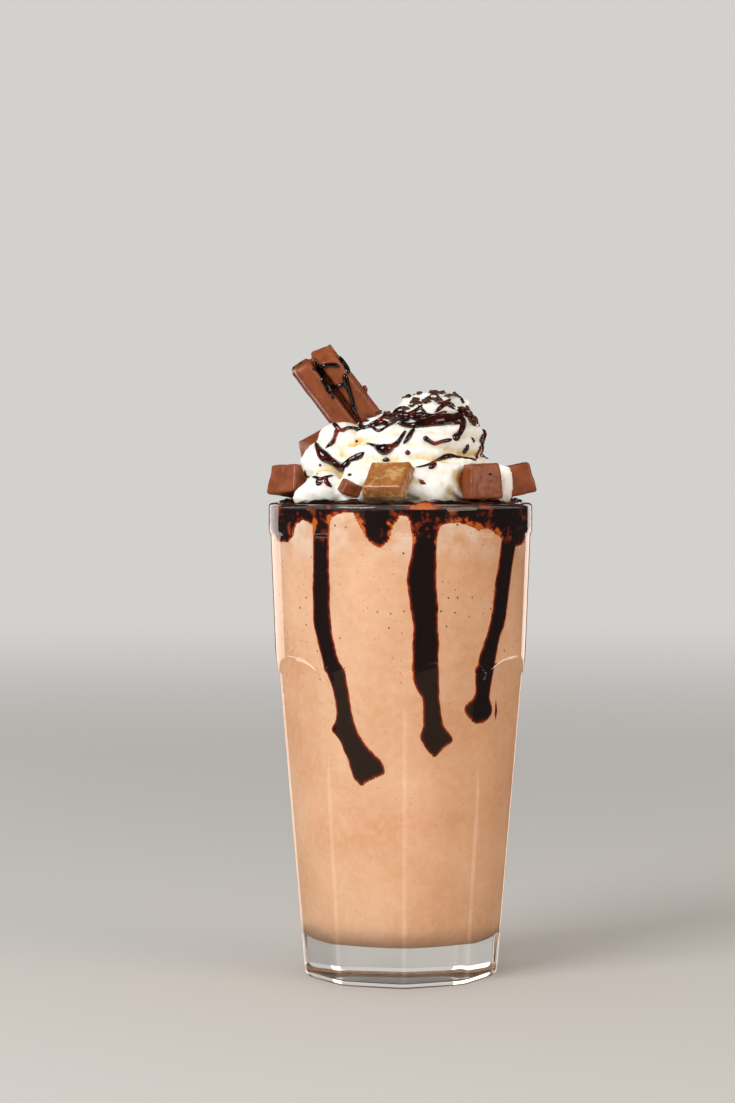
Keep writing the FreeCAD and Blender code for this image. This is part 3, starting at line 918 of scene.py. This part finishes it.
def make_lumpy(mesh, places, lumps_mm, lump_scale, dimension, grain_scale, shift=Vector()):
    """Puts the vertices at places, pushed along their normals by broad lumps and a fine grain."""
    lumps = np.array([noise.fractal(Vector(p) * lump_scale + shift, dimension, 2.0, 3) for p in places])
    grain = np.array([noise.noise(Vector(p) * grain_scale + shift) for p in places])
    move_vertices(mesh, places + vertex_normals(mesh) * (lumps_mm * lumps + 0.05 * grain)[:, None] * MM)


def hollowness(mesh, rounds, full_mm):
    """How deep each vertex lies below its surroundings: 0 on a crest, 1 at full_mm."""
    ends = np.empty(len(mesh.edges) * 2, dtype=np.int64)
    mesh.edges.foreach_get("vertices", ends)
    a, b = ends.reshape(-1, 2).T
    places, normals = coordinates(mesh), vertex_normals(mesh)
    count = np.bincount(a, minlength=len(places)) + np.bincount(b, minlength=len(places))
    smooth = places.copy()
    for _ in range(rounds):
        total = np.zeros_like(smooth)
        for k in range(3):
            total[:, k] = np.bincount(a, smooth[b, k], len(places))
            total[:, k] += np.bincount(b, smooth[a, k], len(places))
        smooth = 0.4 * smooth + 0.6 * total / count[:, None]
    return np.clip(((smooth - places) * normals).sum(axis=1) / MM / full_mm, 0, 1)


CHUNKS = sorted(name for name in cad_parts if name.startswith("chunk_"))
DENT_OUT = 4.2 * MM  # how far from a chunk's centre its dent is centred: outward, or as said here
DENT_TOWARD = {"chunk_high": (-0.85, 0.2, 0.5), "chunk_right": (-0.3, -0.95, 0.0)}
DENT_ROOM = 0.8 * MM


def press_in(places):
    """Pushes the cream out of a ball around the outer side of each chunk, as pressing it in does."""
    for name in CHUNKS:
        low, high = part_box(name)
        middle = (np.array(low) + np.array(high)) / 2
        radius = min(np.array(high) - np.array(low)) / 2 + DENT_ROOM
        outward = np.array(DENT_TOWARD.get(name, (middle[0], middle[1], 0.0)))
        outward /= np.linalg.norm(outward)
        ball = middle + outward * DENT_OUT
        away = places - ball
        far = np.linalg.norm(away, axis=1)
        inside = far < radius * 1.25
        push = 1.25 * radius * (far / (1.25 * radius)) ** 0.35
        places[inside] = (ball + away * (push / np.maximum(far, 1e-6))[:, None])[inside]
    return places


def make_cream_piece():
    work = bmesh.new()
    sweep(work, rope_frames(), segments=64, ridge=star)
    add_ball(work, rim_point(1, 0, 4), (29 * MM, 29 * MM, 15 * MM))
    add_ball(work, rim_point(4, 0, 16), (17 * MM, 17 * MM, 14 * MM))
    for x, y, h, radius, lean in DOLLOPS:
        add_ball(work, rim_point(x, y, h), [radius * MM] * 3, Vector(lean) * MM)
    bmesh.ops.recalc_face_normals(work, faces=work.faces)
    mesh = voxel_skin(mesh_of(work), CREAM_VOXEL)
    places = press_in(coordinates(mesh))
    move_vertices(mesh, places)
    make_lumpy(mesh, places, 0.42, 260, 0.7, 1100)
    # Painted shade for the colour: high in creases and where the skin faces down.
    painted_shade = mesh.attributes.new(CREAM_PAINTED_SHADE, "FLOAT", "POINT")
    downward = np.clip(-vertex_normals(mesh)[:, 2], 0, 1)
    creases = 0.75 * hollowness(mesh, 70, 1.5) + 0.35 * hollowness(mesh, 20, 0.5)
    painted_shade.data.foreach_set("value", np.clip(creases + 0.35 * downward, 0, 1))
    return place_mesh(mesh, "piped_cream", cream_finish, ["whipped_cream"])


cream = make_cream_piece()

# %% [markdown]
# ## Chunks and the wafer bar
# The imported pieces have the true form: tapered squares from a mould and two fingers joined by a thin web.
# Real ones are never that crisp once they have been broken off and handled, so each copy gets a finer skin
# that is then pushed about by a few tenths of a millimetre.

# %% Handled chocolate
def make_handled(node, material, voxel, unevenness, seed):
    """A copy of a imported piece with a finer, uneven skin."""
    work = bmesh.new()
    work.from_mesh(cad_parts[node].data)
    bmesh.ops.remove_doubles(work, verts=work.verts, dist=1e-6)
    mesh = voxel_skin(mesh_of(work), voxel)
    make_lumpy(mesh, coordinates(mesh), unevenness, 150, 0.8, 900, Vector((seed * 0.37, 0, 0)))
    return place_mesh(mesh, node + "_piece", material, [node])


chunk_pieces = {}
for count, name in enumerate(CHUNKS):
    gold = name == "chunk_front"
    chunk_pieces[name] = make_handled(name, caramel_finish if gold else chocolate_finish,
                                      0.32 * MM, 0.3, count)
bar = make_handled("wafer_bar", chocolate_finish, 0.38 * MM, 0.18, 20)

# %% [markdown]
# ## Sauce poured over the top
# Each strand is drawn the way the pourer sees it: across from the axis and up from the rim, with its width.
# A ray from the eye through each point finds where it lands, and a ring is extruded along there, half sunk.

# %% Where the eye's line lands
def tree_of(*pieces):
    work = bmesh.new()
    for piece in pieces:
        work.from_mesh(piece.data)
    tree = BVHTree.FromBMesh(work)
    work.free()
    return tree


top_tree = tree_of(cream, *chunk_pieces.values(), bar)
bar_tree = tree_of(bar)
cream_tree = tree_of(cream)


def seen_place(tree, x, h):
    """Where a line from the eye lands, with the surface's normal; None if it passes by."""
    aim = rim_point(x, 0, h)
    place, normal, _, _ = tree.ray_cast(EYE, (aim - EYE).normalized())
    return (place, normal) if place else None


STRAND_FATNESS = 1.3


def lay_strand(work, landed):
    """Extrudes a round-ended ring along landed points of (place, normal, width in mm)."""
    if len(landed) < 4:
        return
    frames = []
    total = len(landed) - 1
    for k, (place, normal, width) in enumerate(landed):
        along = landed[min(k + 1, total)][0] - landed[max(k - 1, 0)][0]
        if along.length < 1e-7:
            continue
        side = along.normalized().cross(normal).normalized()
        from_end = min(k, total - k)
        half = width * STRAND_FATNESS / 2 * MM * min(1, sqrt((from_end + 0.15) / 2.5))
        frames.append((place, side * half, normal * half, 0))
    sweep(work, frames, segments=10)


def land(tree, line):
    """A drawn line's landing places, with their normals evened out along it."""
    hits = [(seen_place(tree, x, h), width) for x, h, width in line]
    landed = [(*hit, max(width, 0.25)) for hit, width in hits if hit]
    for _ in range(2):
        normals = [normal for _, normal, _ in landed]
        normals = normals[:1] + normals + normals[-1:]
        landed = [(place, (normals[k] + normals[k + 1] + normals[k + 2]).normalized(), width)
                  for k, (place, _, width) in enumerate(landed)]
    return landed


STRAND_BREAK = 3 * MM


def split_at_jumps(landed, jump=STRAND_BREAK):
    """Strands break where the surface falls away."""
    parts, current = [], landed[:1]
    for before, after in zip(landed, landed[1:]):
        if (after[0] - before[0]).length > jump:
            parts.append(current)
            current = []
        current.append(after)
    return parts + [current]


# %% The strands
STRANDS = [  # across, up, width
    [(-1, 26.6, 1), (4.3, 25.8, 1.8), (9.9, 26.9, 3.2), (14, 27.6, 3.6), (18, 28.6, 2.4),
     (21.3, 29.8, 1.4)],
    [(19.6, 29, 1.6), (21, 26.6, 1.9), (19.9, 23.6, 1.6), (17.8, 21, 2.6)],
    [(7.7, 22, 2.2), (9.4, 20.8, 1.2), (11.4, 19.8, 1.1), (13.6, 20.4, 1), (17.2, 21.2, 1.2)],
    [(-11.6, 20, 0.7), (-8.6, 19, 1.2), (-5.6, 17.8, 3), (-2.6, 18.8, 1.9), (-0.6, 20.6, 1.2),
     (1.8, 24.2, 1)],
    [(0.9, 19.6, 0.6), (2.6, 21.8, 1.3), (4.6, 24.8, 1.4)],
    [(28.2, 24.2, 2.2), (26.8, 21.6, 1.2), (26.8, 19, 1.3), (25.7, 16.6, 1.1), (25.3, 14.6, 1.3)],
    [(4.9, 11.8, 0.4), (8.6, 12.6, 0.6), (12, 14.1, 0.8), (15.7, 15.5, 1.7), (19, 15.2, 1),
     (21.6, 14.9, 0.8), (25.4, 14.3, 0.8)],
    [(9.4, 11.4, 1.2), (11, 12.4, 1.3), (12.4, 14, 0.8)],
    [(18.8, 31, 0.9), (21.3, 30.6, 1.4), (23.2, 28.4, 1.5), (24.6, 26.4, 1.8)],
    [(21.6, 32, 0.8), (24.4, 30, 1), (26.4, 26.6, 1.2)],
    [(-24.9, 26.6, 1), (-22.4, 26.4, 1.3), (-20, 24.2, 1.2), (-17.2, 25, 1.1), (-13.6, 24.6, 1.4),
     (-12.9, 27.2, 1.1), (-10.4, 27.4, 0.9)],
    [(-21.6, 24.8, 0.7), (-21.9, 22.4, 0.9), (-22.4, 20.2, 0.8), (-25.2, 18.2, 0.7)],
    [(-28.6, 20.6, 1.2), (-27.4, 18, 1.8), (-25.6, 15.6, 2.9), (-22.6, 13.6, 2), (-19.4, 11.8, 2.4),
     (-16.8, 14.2, 1.6), (-14.4, 15.2, 2), (-12, 16.9, 0.9)],
    [(-32, 11, 0.8), (-31.2, 8.8, 0.8), (-28.6, 8.6, 0.9), (-26.8, 7.9, 1.1), (-24.9, 8.6, 0.8),
     (-22.4, 9.2, 0.7)],
    [(-24.4, 8.4, 1.1), (-24.8, 7, 1.3), (-22.9, 5.2, 1)],
    [(-28.2, 7.6, 1), (-27.4, 6.2, 1.2), (-26, 7.2, 0.9)],
    [(5.2, 33.2, 0.8), (7.2, 31.2, 0.9), (9, 28.9, 0.9)],
    [(11.4, 30.1, 0.6), (13.2, 31.8, 1), (15.1, 32.7, 1.2), (16.8, 32, 1), (18.4, 31.2, 0.7)],
    [(-3, 28.4, 0.9), (0, 30.2, 1.1), (2.4, 29.6, 1.1), (5.9, 31.4, 1), (8, 33.6, 0.8)],
    [(-9, 25.4, 1.2), (-6.4, 26.8, 1.5), (-3.6, 26.4, 1.2), (-0.6, 28.2, 1.2), (3, 27.6, 1.2)],
    [(-14.4, 26, 0.9), (-11.6, 25.2, 1.2), (-9.2, 26.6, 1), (-6, 28.4, 1.2), (-3.6, 30.6, 1)],
    [(3.4, 28.4, 0.9), (6.8, 29.8, 1), (11, 29.2, 0.9), (15.6, 30.6, 0.9)],
    [(6, 7.9, 0.6), (7.2, 6.9, 1.2), (8.6, 6.2, 0.5)],
    [(-3.3, 31.3, 0.7), (0.6, 29.3, 1.4), (5.2, 29.3, 1.5), (8.4, 30, 0.9)],
    [(4.5, 33.9, 0.6), (6.5, 31.9, 0.7), (8.8, 29.3, 0.7)],
    [(12, 30.3, 0.6), (14.3, 32.3, 0.9), (16.6, 33.1, 0.9), (18.5, 31.9, 0.6)],
    [(0.6, 27.1, 1), (3.2, 28.7, 1.4), (6.5, 28, 1.4), (10.1, 29.3, 1)],
    [(-7.2, 27.4, 0.9), (-5.6, 29.3, 1.2), (-3.3, 28.7, 1.2), (-0.7, 31.3, 1.1), (2.6, 31.9, 0.8)],
    [(-13.7, 26.7, 0.7), (-12.4, 24.8, 0.9), (-9.8, 25.4, 0.8), (-7.2, 24.1, 0.9), (-3.3, 26.1, 0.7)],
    [(18.9, 31.9, 0.7), (21.1, 31.3, 1.1), (23.4, 29.3, 1.3), (25.4, 27.4, 0.9)],
    [(-20.2, 25.4, 0.6), (-22.2, 21.5, 0.8), (-24.8, 18.3, 0.9)]]
DROPS = [(2.4, 16.8, 1.9, 1.9), (21.9, 17.9, 2.5, 3.8), (24.2, 21, 1.7, 2.2), (-4.8, 14.3, 2.6, 1.9),
         (-26.9, 12.6, 1, 1), (-14.7, 20.6, 1.2, 0.9), (33.4, 16.6, 1.4, 2.6), (20.6, 34, 1.8, 2.2),
         (-17, 9.4, 1.8, 1.2), (-27.8, 9.6, 0.8, 0.8), (30, 9.6, 1.4, 0.9)]


def lay_drop(work, tree, x, h, wide, high):
    """A drop, narrower at its top, where a line from the eye lands."""
    hit = seen_place(tree, x, h)
    if not hit:
        return
    place, normal = hit
    up = (Vector((0, 0, 1)) - normal * normal.z).normalized()
    side = up.cross(normal)
    ball = bmesh.ops.create_icosphere(work, subdivisions=2, radius=1)["verts"]
    for vert in ball:
        x_part, y_part, z_part = vert.co
        narrow = 1 - 0.35 * clamp(z_part)
        vert.co = place + (side * x_part * wide / 2 * narrow + up * z_part * high / 2
                           + normal * y_part * min(wide, high) * 0.34) * MM


def lay_drawn(work, tree, strands, drops, jump=STRAND_BREAK):
    """Drawn strands and drops, as the eye sees them land."""
    for strand in strands:
        for part in split_at_jumps(land(tree, smooth_line(strand)), jump):
            lay_strand(work, part)
    for drop in drops:
        lay_drop(work, tree, *drop)


# %% Strands round the sides and the back
def back_strands(work, tree, count, seed):
    """Strands that wander over the cream where no drawn strand lies."""
    chance = random.Random(seed)
    for _ in range(count):
        angle = chance.uniform(-10, 190)
        lean = chance.uniform(-0.9, 0.9)
        height = chance.uniform(9, 33)
        landed = []
        length = chance.randint(16, 40)
        width = chance.uniform(0.7, 1.7)
        for k in range(length):
            share = k / length
            a = radians(angle + 34 * lean * share)
            h = height + 7 * sin(3 * share + angle) * (1 - 0.4 * share)
            outward = Vector((cos(a), sin(a), 0))
            start = Vector((4 * MM, 0, 0)) + outward * 0.2 + Vector((0, 0, RIM_Z + h * MM))
            place, normal, _, _ = tree.ray_cast(start, -outward)
            if place:
                landed.append((place, normal, width * (0.6 + 0.8 * abs(sin(2.5 * share + angle)))))
        for part in split_at_jumps(landed) if landed else []:
            lay_strand(work, part)


def make_drizzle():
    work = bmesh.new()
    lay_drawn(work, top_tree, STRANDS, DROPS)
    back_strands(work, top_tree, 34, seed=7)
    layer = work.verts.layers.float.new(SAUCE_DEPTH)
    for vert in work.verts:
        vert[layer] = 1.0 + 0.8 * noise.noise(vert.co * 220)
    bmesh.ops.recalc_face_normals(work, faces=work.faces)
    finish_piece(work, "sauce_drizzle", open_sauce_finish)


make_drizzle()

# %% The sauce's net on the bar
BAR_NET = [
    [(-28.3, 48, 0.9), (-27.2, 45.6, 1.3), (-24.8, 45.8, 1.3), (-22.2, 46, 1.2), (-20.2, 45.4, 1.4)],
    [(-20.9, 49.2, 0.9), (-19.4, 46.8, 1.7), (-18.3, 44.6, 2.1), (-17.2, 42.8, 1.4)],
    [(-27.6, 47, 1.2), (-26.6, 44, 1.9), (-26.1, 41.1, 1.4), (-24.4, 38.5, 1.7), (-22.6, 35.8, 1.2)],
    [(-24.2, 38.3, 1.2), (-22.6, 38.7, 1.1), (-20.2, 39.1, 1.1), (-18.2, 39.8, 1.6)],
    [(-18.7, 43.2, 1.6), (-17.9, 39.6, 1.5), (-16.8, 36.2, 1.2), (-15.8, 32.6, 1.4), (-14.8, 29.4, 1.5)],
    [(-29.6, 44.8, 0.8), (-28.4, 44.4, 1.2), (-27, 44.8, 1.3)]]
BAR_DROPS = [(-35.8, 44.8, 1.8, 1.2), (-33.6, 46.4, 1.2, 1.5), (-22.6, 35.6, 1.3, 2.2),
             (-14.9, 29.6, 1.7, 2.6), (-17.6, 43.6, 1.8, 2.4), (-26.4, 45.2, 2.2, 1.8)]
BAR_BRIDGED = 8 * MM  # the net spans the valley between the fingers


def make_bar_sauce():
    work = bmesh.new()
    lay_drawn(work, bar_tree, BAR_NET, BAR_DROPS, BAR_BRIDGED)
    layer = work.verts.layers.float.new(SAUCE_DEPTH)
    for vert in work.verts:
        vert[layer] = 2.0
    bmesh.ops.recalc_face_normals(work, faces=work.faces)
    finish_piece(work, "sauce_on_bar", open_sauce_finish)


make_bar_sauce()

# %% [markdown]
# ## Shavings
# Small curls of chocolate lie thickest over the crown. Each is a short flat strip, bent along its length,
# and dropped on the cream with its own length, bend and heading.

# %% Shavings over the crown
def lay_shaving(work, chance, hit, normal):
    """One curl with its own length, bend and heading, a little off the surface."""
    heading = Vector((chance.uniform(-1, 1), chance.uniform(-1, 1), chance.uniform(-0.4, 0.6)))
    along = (heading - normal * heading.dot(normal)).normalized()
    length = chance.uniform(1.4, 3.8) * MM
    bend = chance.uniform(-1.6, 1.6)
    lift = chance.uniform(0.1, 0.8) * MM
    thick = chance.uniform(0.32, 0.62) * MM
    side = along.cross(normal)
    frames = []
    for k in range(7):
        share = k / 6 - 0.5
        centre = hit + normal * lift + along * share * length + side * bend * share**2 * length * 0.8
        centre += normal * (0.25 - share**2) * length * chance.uniform(0.1, 0.35)
        taper = sqrt(max(0.12, 1 - (2 * share) ** 4))
        frames.append((centre, side * thick * taper * 1.5, normal * thick * taper, 0))
    sweep(work, frames, segments=7)


SPRINKLED = 74  # dropped from above, all round
TOSSED = [  # how many; from where to where across, and up from the rim
    (34, -14, -1, 24, 30), (14, 3, 13, 32, 37), (12, 18, 25, 26, 33)]


def make_shavings():
    chance = random.Random(11)
    work = bmesh.new()
    down = Vector((0, 0, -1))
    places = []
    for _ in range(SPRINKLED):
        angle, reach = chance.uniform(0, 2 * pi), 22 * sqrt(chance.random())
        above = rim_point(3 + reach * cos(angle), 0.75 * reach * sin(angle), 60)
        hit, normal, _, _ = top_tree.ray_cast(above, down)
        if hit and hit.z > RIM_Z + 18 * MM and not bar_tree.ray_cast(above, down)[0]:
            places.append((hit, normal))
    for count, left, right, low, high in TOSSED:
        for _ in range(count):
            aim = chance.uniform(left, right), chance.uniform(low, high)
            if seen_place(cream_tree, *aim) and not seen_place(bar_tree, *aim):
                places.append(seen_place(cream_tree, *aim))
    for hit, normal in places:
        lay_shaving(work, chance, hit, normal)
    bmesh.ops.recalc_face_normals(work, faces=work.faces)
    print("shavings placed:", len(places))
    finish_piece(work, "chocolate_shavings", shaving_finish)


make_shavings()

# %% [markdown]
# ## The studio
# A pale room with no corners: the floor fades into the same pale tone with distance, whichever way one
# looks. Reflections see little of that room, as behind a polarising filter, so that dark sauce stays dark
# behind the glass; what they do see are the lamps: a soft box, a weaker one, two tall strips behind that
# draw the glass's edges, two faint sheens on the flats, and three low lamps that draw lines on the ridges.

# %% The pale room
ROOM = "#d3d1ce"
ROOM_LIGHT, ROOM_MIRRORED = 0.92, 0.06  # how strongly the room lights things, and is mirrored by them


def make_room():
    world = bpy.data.worlds.new("pale_room")
    bpy.context.scene.world = world
    world.use_nodes = True
    tree = world.node_tree
    tree.nodes.clear()
    path = add(tree, "LightPath")
    lighting = add(tree, "Mix", {0: path.outputs["Is Diffuse Ray"], 2: 1.0, 3: ROOM_LIGHT}, data_type="FLOAT")
    straight = add(tree, "Math", {0: 1.0, 1: path.outputs["Is Transmission Ray"]}, operation="SUBTRACT")
    mirrored = times(tree, path.outputs["Is Glossy Ray"], straight.outputs[0])
    strength = add(tree, "Mix", {0: mirrored, 2: lighting.outputs[0], 3: ROOM_MIRRORED}, data_type="FLOAT")
    light = add(tree, "Background", {"Color": colour(ROOM), "Strength": strength.outputs[0]})
    output = tree.nodes.new("ShaderNodeOutputWorld")
    tree.links.new(light.outputs[0], output.inputs["Surface"])


def make_floor():
    work = bmesh.new()
    bmesh.ops.create_circle(work, cap_ends=True, segments=96, radius=4.0)
    mesh = mesh_of(work, "floor")
    material, tree, output = new_material("matte_paper")
    place = add(tree, "TexCoord")
    reach = add(tree, "VectorMath", {0: place.outputs["Object"]}, operation="LENGTH")
    fade = add(tree, "MapRange", {"Value": reach.outputs["Value"], "From Min": 0.25, "From Max": 2.2},
               interpolation_type="SMOOTHSTEP")
    paper = add(tree, "BsdfPrincipled", {"Base Color": colour("#c9c7c4"), "Roughness": 0.9,
                                         "Specular IOR Level": 0.1})
    clear = add(tree, "BsdfTransparent")
    mixed = add(tree, "MixShader", {0: fade.outputs["Result"], 1: paper.outputs[0], 2: clear.outputs[0]})
    tree.links.new(mixed.outputs[0], output.inputs["Surface"])
    mesh.materials.append(material)
    floor = link(mesh, "floor")
    floor.visible_glossy = False


make_room()
make_floor()

# %% The lamps
AIM = (0, 0, 0.1)
LAMPS = [  # name, place, width, height, watts, tint
    ("soft_box", (-0.70, -0.75, 0.80), 0.6, 0.6, 9.2, "#ffffff"),
    ("weak_box", (0.90, -0.65, 0.50), 0.6, 0.6, 3.4, "#ffe6cc"),
    ("left_strip", (-0.42, 0.62, 0.05), 0.40, 0.75, 1.6, "#fff0ea"),
    ("right_strip", (0.34, 0.66, 0.05), 0.22, 0.75, 0.9, "#fff0ea"),
    ("left_sheen", (-0.59, -0.81, -0.05), 0.22, 0.6, 0.16, "#ffd0a4"),
    ("right_sheen", (0.70, -0.72, -0.05), 0.22, 0.6, 0.12, "#ffd0a4"),
    ("left_ridge_line", (-0.97, -0.24, -0.31), 0.36, 0.3, 0.45, "#fff4e6"),
    ("middle_ridge_line", (0.07, -1.0, -0.31), 0.36, 0.3, 0.45, "#fff4e6"),
    ("right_ridge_line", (0.99, -0.10, -0.31), 0.36, 0.3, 0.45, "#fff4e6")]
for name, place, width, height, watts, tint in LAMPS:
    lamp_data = bpy.data.lights.new(name, "AREA")
    lamp_data.shape = "RECTANGLE"
    lamp_data.size, lamp_data.size_y = width, height
    lamp_data.energy = watts
    lamp_data.color = colour(tint)[:3]
    lamp = link(lamp_data, name)
    lamp.location = place
    lamp.rotation_euler = (Vector(AIM) - Vector(place)).to_track_quat("-Z", "Y").to_euler()
    lamp.visible_camera = False
    lamp.visible_diffuse = name.endswith("box")

# %% [markdown]
# ## The camera
# It stands about a metre off, just above the rim's height, and looks a little down with a long lens, so
# that the glass hardly tapers by perspective.

# %% The camera
LOOK_DOWN = 1.85  # degrees
SHIFT = -0.02992  # sideways, as a share of the frame's height

camera_data = bpy.data.cameras.new("camera")
camera_data.sensor_fit = "VERTICAL"
camera_data.sensor_height = 36
camera_data.lens = 97.6
camera_data.shift_x = SHIFT
camera = link(camera_data, "camera")
camera.location = EYE
camera.rotation_euler = (radians(90 - LOOK_DOWN), 0, 0)
bpy.context.scene.camera = camera
bpy.context.scene.view_settings.view_transform = "Standard"
